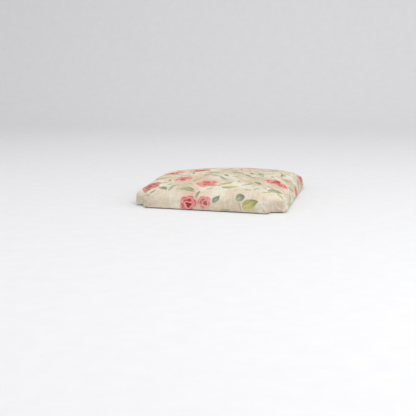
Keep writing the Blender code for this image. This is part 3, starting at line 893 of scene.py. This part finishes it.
def make_wadding(form):
    """A lofty fibre layer that lies just inside the cover, down to its trimmed lower edge."""
    wadding = inside_form(form, "wadding_layer", WADDING_INSET, 4)
    bm = bmesh.new()
    bm.from_mesh(wadding.data)
    cut_level(bm, WADDING_LOW.z + WADDING_TRIM, True)
    bm.to_mesh(wadding.data)
    bm.free()
    points = points_of(wadding.data)
    lumps = UNEVEN * waves(points, 14, 0.008, 0.02, 11)
    set_points(wadding.data, points + normals_of(wadding.data) * lumps[:, None])
    modify(wadding, "SOLIDIFY", thickness=WADDING_THICK, offset=-1)
    tuck_inside(wadding, form, COVER_THICK + WADDING_CLEAR)
    wadding.data.shade_smooth()
    made, nodes, shader = new_material("polyester wadding", 0.95, sheen=0.3, specular=0.2)
    place = nodes.node("TexCoord").outputs["Object"]
    tufts = nodes.noise(place, 160.0, 6.0, 0.7)
    fibres = nodes.noise(nodes.stretch(place, 900, 180, 500), 1.0, 3.0, 0.7)
    shade = nodes.ramp(tufts, [(0.3, colour(222, 223, 222)), (0.7, colour(246, 246, 244))])
    nodes.feed(shader.inputs["Base Color"], shade)
    bump(nodes, shader, nodes.math("ADD", tufts, fibres), 0.0006)
    wadding.data.materials.append(made)
    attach(wadding, "root")
    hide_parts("wadding")


def make_foam(form, name, node, low, high, tone, pore, seed):
    """A block of foam between two heights: the form drawn in, cut level and closed, with the
    unevenness of cut foam."""
    block = inside_form(form, name, FOAM_INSET, 6)
    bm = bmesh.new()
    bm.from_mesh(block.data)
    cut_level(bm, low, True)
    cut_level(bm, high, False)
    loops = [edge for edge in bm.edges if edge.is_boundary]
    bmesh.ops.holes_fill(bm, edges=loops, sides=0)
    bmesh.ops.triangulate(bm, faces=[face for face in bm.faces if len(face.verts) > 4])
    bmesh.ops.recalc_face_normals(bm, faces=bm.faces)
    bm.to_mesh(block.data)
    bm.free()
    modify(block, "REMESH", mode="VOXEL", voxel_size=FOAM_VOXEL)
    tuck_inside(block, form, COVER_THICK + FOAM_CLEAR)
    points = points_of(block.data)
    uneven = UNEVEN * waves(points, 12, 0.012, 0.04, seed) - FOAM_SHRINK
    points += normals_of(block.data) * uneven[:, None]
    points[:, 2] = np.clip(points[:, 2], low, high)
    set_points(block.data, points)
    block.data.shade_smooth()
    made, nodes, shader = new_material(name.replace("_", " "), 0.92, specular=0.2)
    place = nodes.node("TexCoord").outputs["Object"]
    cells = nodes.node("TexVoronoi")
    nodes.feed(cells.inputs["Vector"], place)
    cells.inputs["Scale"].default_value = pore
    pores = cells.outputs["Distance"]
    aged = nodes.noise(place, 14.0, 3.0, 0.6)
    shade = nodes.mix(nodes.ease(aged, 0.35, 0.7), colour(*tone[0]), colour(*tone[1]))
    shade = nodes.mix(nodes.ease(pores, 0.1, 0.5, 0.0, 0.35), shade, colour(*tone[2]))
    nodes.feed(shader.inputs["Base Color"], shade)
    bump(nodes, shader, pores, 0.0008, 0.8)
    block.data.materials.append(made)
    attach(block, "root")
    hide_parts(node)


# ---- the dust cover ----
DUST_THICK = 0.0004
DUST_HEM = 0.012
DUST_CLEAR = 0.00012     # from the rest plane to the hem
HEM_STEP = 0.00018       # the doubled hem hangs this much lower than the rest
STAPLE_PRESS = 0.00048   # how far a staple presses the cloth up
BOLT_HOLE = 0.0095
BOND_SPACE = 0.0018      # between the dots that bond the fibres


def turns_left(a, b, c):
    """Whether the way from a over b to c turns left, in plan."""
    return (b[0] - a[0]) * (c[1] - a[1]) - (b[1] - a[1]) * (c[0] - a[0]) > 1e-9


def half_hull(places):
    """The convex outline along one side of places that are in order."""
    hull = []
    for place in places:
        while len(hull) > 1 and not turns_left(hull[-2], hull[-1], place):
            hull.pop()
        hull.append(place)
    return hull[:-1]


def dust_outline():
    """The corners of the CAD dust cover in plan: its vertices' convex outline."""
    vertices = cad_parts["dust_cover"].data.vertices
    places = sorted({(round(vert.co.x, 4), round(vert.co.y, 4)) for vert in vertices})
    return half_hull(places) + half_hull(places[::-1])


def middles_of(start):
    """The middle in plan of each node whose name starts so."""
    boxes = [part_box(name) for name in sorted(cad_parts) if name.startswith(start)]
    return [((low.x + high.x) / 2, (low.y + high.y) / 2) for low, high in boxes]


def make_dust_cover():
    """Black non-woven, folded under at its edge, pulled up at each staple and pierced for the bolts."""
    outline = dust_outline()
    bm = bmesh.new()
    size = max(DUST_HIGH.x, DUST_HIGH.y) * 1.02
    bmesh.ops.create_grid(bm, x_segments=96, y_segments=96, size=size)
    sides = list(zip(outline, outline[1:] + outline[:1]))
    for (x, y), (to_x, to_y) in sides:
        geometry = list(bm.verts) + list(bm.edges) + list(bm.faces)
        way_out = (to_y - y, x - to_x, 0)
        bmesh.ops.bisect_plane(bm, geom=geometry, plane_co=(x, y, 0), plane_no=way_out, clear_outer=True)
    dust = object_from(bm, "dust_cover_cloth")
    points = points_of(dust.data)
    inside = np.full(len(points), 1.0)
    for (x, y), (to_x, to_y) in sides:
        long = math.hypot(to_x - x, to_y - y)
        off = (to_x - x) * (points[:, 1] - y) - (to_y - y) * (points[:, 0] - x)
        inside = np.minimum(inside, off / long)
    height = DUST_CLEAR + HEM_STEP * smoothstep(inside, DUST_HEM - 0.001, DUST_HEM + 0.002)
    for x, y in middles_of("dust_cover_staple"):
        away = np.hypot(points[:, 0] - x, points[:, 1] - y)
        height = np.maximum(height, DUST_CLEAR + STAPLE_PRESS * np.exp(-(away / 0.007) ** 4))
    slack = 0.00012 * waves(points, 9, 0.03, 0.09, 21) * smoothstep(inside, 0.01, 0.04)
    points[:, 2] = height + slack
    set_points(dust.data, points)
    modify(dust, "SOLIDIFY", thickness=DUST_THICK, offset=1)
    bm = bmesh.new()
    for x, y in middles_of("tee_nut"):
        bmesh.ops.create_cone(
            bm, cap_ends=True, segments=48, radius1=BOLT_HOLE / 2, radius2=BOLT_HOLE / 2,
            depth=0.01, matrix=Matrix.Translation((x, y, 0)),
        )
    punch = object_from(bm, "punch")
    modify(dust, "BOOLEAN", operation="DIFFERENCE", object=punch)
    bpy.data.objects.remove(punch)
    dust.data.shade_smooth()
    dust.data.materials.append(nonwoven())
    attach(dust, "root")
    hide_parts("dust_cover")


def nonwoven():
    """Spun-bonded cloth: a mat of fibres with a fine grid of bonding dots."""
    made, nodes, shader = new_material("black non-woven", 0.9, sheen=0.15, specular=0.3)
    place = nodes.node("TexCoord").outputs["Object"]
    x, y, _ = nodes.parts(nodes.scale(place, WHOLE_TURN / BOND_SPACE))
    dots = nodes.math("MULTIPLY", nodes.math("SINE", x), nodes.math("SINE", y))
    fibres = nodes.noise(place, 900.0, 4.0, 0.7)
    mat = nodes.noise(place, 90.0, 5.0, 0.65)
    shade = nodes.mix(nodes.ease(mat, 0.25, 0.75), colour(42, 42, 44), colour(58, 58, 61))
    shade = nodes.mix(nodes.ease(dots, 0.45, 0.8, 0.0, 0.5), shade, colour(22, 22, 24))
    nodes.feed(shader.inputs["Base Color"], shade)
    raised = nodes.math("SUBTRACT", nodes.math("MULTIPLY", fibres, 0.8), nodes.ease(dots, 0.4, 0.8))
    bump(nodes, shader, raised, 0.0002, 0.7)
    return made


# ---- the CAD nodes that show ----
PLIES = 7


def plywood():
    """Birch plywood: pale rotary-cut faces, and plies that show in the edges."""
    made, nodes, shader = new_material("birch plywood", 0.6, specular=0.35)
    place = nodes.node("TexCoord").outputs["Object"]
    _, _, z = nodes.parts(place)
    figure = nodes.noise(nodes.stretch(place, 60, 6, 60), 1.0, 5.0, 0.6)
    rings = nodes.math("FRACT", nodes.math("MULTIPLY", figure, 9.0))
    face = nodes.mix(nodes.ease(rings, 0.1, 0.9), colour(226, 200, 158), colour(205, 172, 124))
    flecks = nodes.noise(nodes.stretch(place, 700, 60, 700), 1.0, 2.0)
    face = nodes.mix(nodes.ease(flecks, 0.62, 0.75, 0.0, 0.4), face, colour(160, 122, 82))
    pairs = PLIES / 2 / (BOARD_HIGH.z - BOARD_LOW.z)
    ply = nodes.math("FRACT", nodes.math("MULTIPLY", nodes.math("SUBTRACT", z, BOARD_LOW.z), pairs))
    edge = nodes.mix(nodes.ease(ply, 0.47, 0.53), colour(214, 184, 138), colour(158, 118, 76))
    normal = nodes.node("NewGeometry").outputs["Normal"]
    flatness = nodes.math("ABSOLUTE", nodes.parts(normal)[2])
    nodes.feed(shader.inputs["Base Color"], nodes.mix(nodes.ease(flatness, 0.4, 0.6), edge, face))
    nodes.feed(shader.inputs["Roughness"], nodes.ease(figure, 0.3, 0.7, 0.5, 0.7))
    bump(nodes, shader, figure, 0.0003, 0.5)
    return made


def plated(name, bright, dull, roughness):
    """Plated steel with spangle, rubbed high spots and fine scratches."""
    made, nodes, shader = new_material(name, roughness, metallic=1.0)
    place = nodes.node("TexCoord").outputs["Object"]
    cloud = nodes.noise(place, 420.0, 3.0, 0.6)
    scratch = nodes.noise(nodes.stretch(place, 3000, 300, 1500), 1.0, 2.0)
    shade = nodes.mix(nodes.ease(cloud, 0.35, 0.65), colour(*bright), colour(*dull))
    nodes.feed(shader.inputs["Base Color"], shade)
    nodes.feed(shader.inputs["Roughness"], nodes.ease(cloud, 0.3, 0.7, roughness - 0.08, roughness + 0.15))
    bump(nodes, shader, scratch, 0.00004, 0.4)
    return made


def finish_frame():
    """Detailed materials for the board, the tee nuts and the staples."""
    finishes = {
        "seat_board": plywood(),
        "tee_nut": plated("zinc-plated steel", (205, 207, 212), (168, 170, 176), 0.32),
        "cover_staple": plated("galvanised wire", (214, 216, 220), (176, 178, 182), 0.28),
    }
    finishes["dust_cover_staple"] = finishes["cover_staple"]
    for name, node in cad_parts.items():
        for start, finish in finishes.items():
            if name.startswith(start):
                node.data.materials.clear()
                node.data.materials.append(finish)


# ---- the room ----
FLAT_TO = 1.6            # where the floor starts to curve up, at a radius of a metre
# Lights: name, place, size, power.
LIGHTS = [
    ("key", (-1.6, -1.2, 1.7), 1.2, 22),
    ("fill", (-1.4, 1.6, 1.0), 1.4, 7),
    ("front", (-0.2, -2.2, 1.1), 1.2, 10),
    ("top", (0.4, 0.2, 2.2), 1.6, 12),
]
LIGHTS_AIM = Vector((0, 0, 0.03))
WORLD_STRENGTH = 0.66
CAMERA_PLACE = Vector((-2.359, -0.4434, 0.4119))
CAMERA_AIM = Vector((0.0, 0.0336, -0.0263))
CAMERA_ROLL = math.radians(-0.626)
CAMERA_LENS, CAMERA_SENSOR = 88.4, 36.0    # millimetres


def make_floor():
    """A pale floor that curves up into a backdrop, in one piece."""
    bm = bmesh.new()
    bmesh.ops.create_grid(bm, x_segments=60, y_segments=4, size=4.0)
    for vert in bm.verts:
        past = max(vert.co.x - FLAT_TO, 0.0)
        bend = min(past, math.pi / 2)
        rise = max(past - math.pi / 2, 0.0)
        if past > 0:
            vert.co.x = FLAT_TO + math.sin(bend)
            vert.co.z = 1 - math.cos(bend) + rise
    bmesh.ops.recalc_face_normals(bm, faces=bm.faces)
    floor = object_from(bm, "floor")
    floor.data.shade_smooth()
    made, nodes, shader = new_material("pale floor", 0.8, specular=0.2)
    speckle = nodes.noise(nodes.node("TexCoord").outputs["Object"], 30.0, 2.0)
    nodes.feed(shader.inputs["Base Color"], nodes.mix(speckle, colour(220, 220, 222), colour(226, 226, 227)))
    floor.data.materials.append(made)


def add_light(name, place, size, power):
    data = bpy.data.lights.new(name, "AREA")
    data.shape = "DISK"
    data.size = size
    data.energy = power
    light = new_object(name, data)
    light.location = place
    light.rotation_euler = (LIGHTS_AIM - Vector(place)).to_track_quat("-Z", "Y").to_euler()


def make_lights():
    world = bpy.data.worlds.new("studio")
    bpy.context.scene.world = world
    world.use_nodes = True
    backdrop = world.node_tree.nodes["Background"]
    backdrop.inputs["Color"].default_value = (1.0, 1.0, 1.0, 1.0)
    backdrop.inputs["Strength"].default_value = WORLD_STRENGTH
    for light in LIGHTS:
        add_light(*light)


def make_camera():
    """The camera looks from its place at its aim, rolled a little about that line."""
    data = bpy.data.cameras.new("camera")
    data.sensor_width = CAMERA_SENSOR
    data.lens = CAMERA_LENS
    data.clip_start = 0.05
    camera = new_object("camera", data)
    turn = (CAMERA_AIM - CAMERA_PLACE).to_track_quat("-Z", "Y").to_matrix().to_4x4()
    roll = Matrix.Rotation(CAMERA_ROLL, 4, "Z")
    camera.matrix_world = Matrix.Translation(CAMERA_PLACE) @ turn @ roll
    bpy.context.scene.camera = camera
    bpy.context.scene.view_settings.view_transform = "Standard"


def main():
    make_camera()
    make_floor()
    make_lights()
    form = make_form()
    make_cover(form)
    make_wadding(form)
    make_foam(
        form, "foam_core_block", "foam_core", CORE_LOW.z, CORE_HIGH.z,
        ((226, 206, 150), (214, 190, 128), (178, 150, 92)), 620.0, 31,
    )
    make_foam(
        form, "crown_foam_block", "crown_foam", CROWN_LOW.z, CROWN_HIGH.z,
        ((244, 238, 212), (238, 228, 192), (206, 194, 156)), 760.0, 37,
    )
    bpy.data.objects.remove(form)
    make_dust_cover()
    finish_frame()


main()
